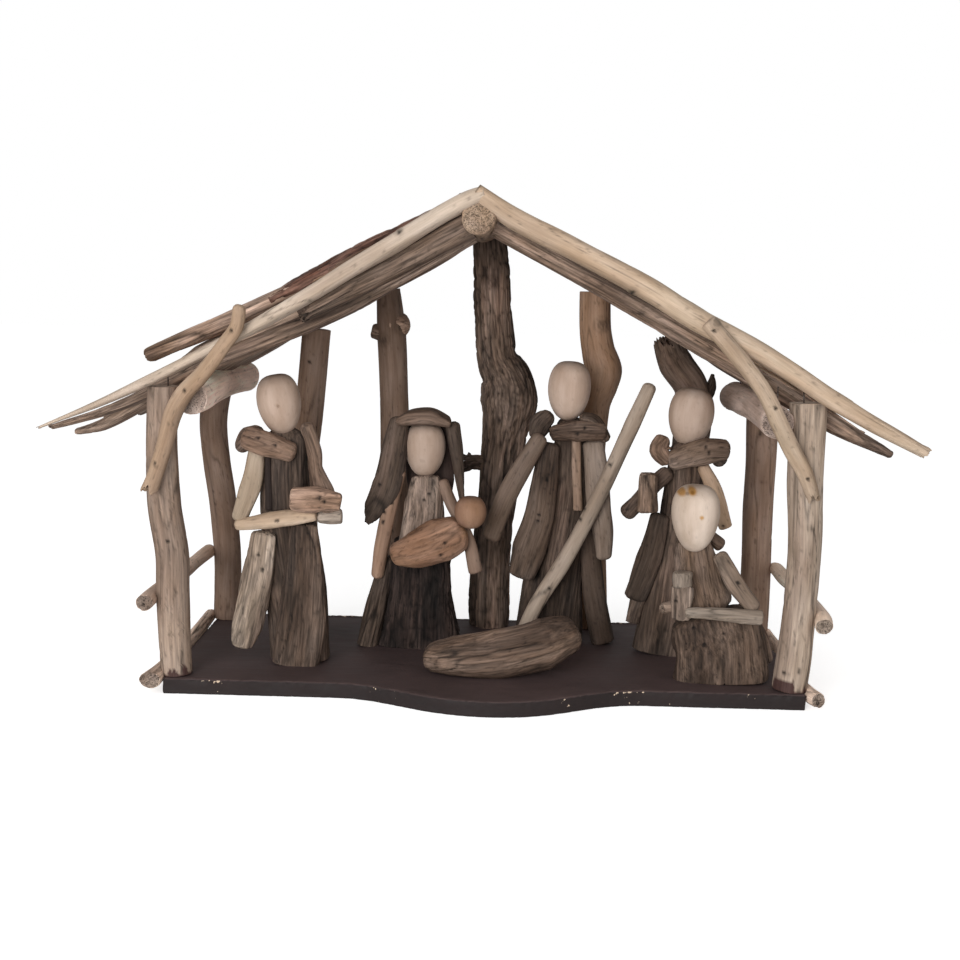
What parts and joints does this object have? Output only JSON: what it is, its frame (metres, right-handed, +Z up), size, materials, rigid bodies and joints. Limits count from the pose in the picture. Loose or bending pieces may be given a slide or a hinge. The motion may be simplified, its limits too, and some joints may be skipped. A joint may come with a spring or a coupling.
{
  "type": "nativity house",
  "caption": "Driftwood stable with a pitched roof of sticks and planks on a painted board, holding glued wooden figures, a leaning staff and a crib.",
  "frame": {"origin": "middle of the rectangle of the board, on its underside", "axes": "+X along the board to the viewer's right, +Y from the open front to the back posts, +Z up"},
  "size_m": [0.4918, 0.1946, 0.2845],
  "materials": {
    "painted_board": "matt dark brown-maroon paint on board",
    "bleached_wood": "sun-bleached driftwood, dry and open-grained",
    "sand_wood": "sandy driftwood, smooth and dry",
    "grey_wood": "grey-brown weathered driftwood",
    "umber_wood": "dark brown weathered driftwood",
    "charred_wood": "very dark, rough driftwood",
    "russet_wood": "reddish-brown driftwood with bark traces",
    "biscuit_wood": "warm tan driftwood",
    "cream_wood": "pale, sanded-smooth driftwood"
  },
  "bodies": {
    "root": {"board": "painted_board", "ridge_log": "sand_wood", "purlin_left": "grey_wood", "purlin_right": "grey_wood", "roof_left_front_stick": "bleached_wood", "roof_left_short_plank": "grey_wood", "roof_left_long_plank": "grey_wood", "roof_left_forked_plank": "umber_wood", "roof_left_red_plank": "russet_wood", "roof_left_rear_planks": "grey_wood", "roof_right_front_stick": "bleached_wood", "roof_right_long_plank": "grey_wood", "roof_right_low_plank": "umber_wood", "roof_right_top_plank": "russet_wood", "roof_right_rear_planks": "grey_wood", "post_front_left": "sand_wood", "post_front_right": "sand_wood", "post_rear_left": "umber_wood", "post_rear_right": "umber_wood", "post_back_far_left": "umber_wood", "post_back_left": "umber_wood", "post_back_middle": "charred_wood", "post_back_right": "russet_wood", "post_back_far_right": "charred_wood", "brace_left": "sand_wood", "brace_right": "sand_wood", "rail_left": "grey_wood", "rail_right": "grey_wood", "kerb_left": "grey_wood", "kerb_right": "grey_wood", "king_left_head": "cream_wood", "king_left_robe": "umber_wood", "king_left_collar": "grey_wood", "king_left_arm": "bleached_wood", "king_left_gift_arm": "grey_wood", "king_left_gift": "biscuit_wood", "mother_head": "cream_wood", "mother_veil": "umber_wood", "mother_bodice": "grey_wood", "mother_skirt": "charred_wood", "mother_arm": "biscuit_wood", "mother_near_arm": "biscuit_wood", "baby": "biscuit_wood", "shepherd_head": "cream_wood", "shepherd_robe": "charred_wood", "shepherd_collar": "umber_wood", "shepherd_left_panel": "umber_wood", "shepherd_right_panel": "grey_wood", "shepherd_arm": "grey_wood", "staff": "bleached_wood", "king_rear_head": "cream_wood", "king_rear_robe": "charred_wood", "king_rear_collar": "grey_wood", "king_rear_arm": "bleached_wood", "king_rear_gift_arm": "umber_wood", "king_kneeling_head": "cream_wood", "king_kneeling_robe": "umber_wood", "king_kneeling_arm": "bleached_wood", "king_kneeling_gift": "grey_wood", "crib": "biscuit_wood"}
  },
  "joints": []
}
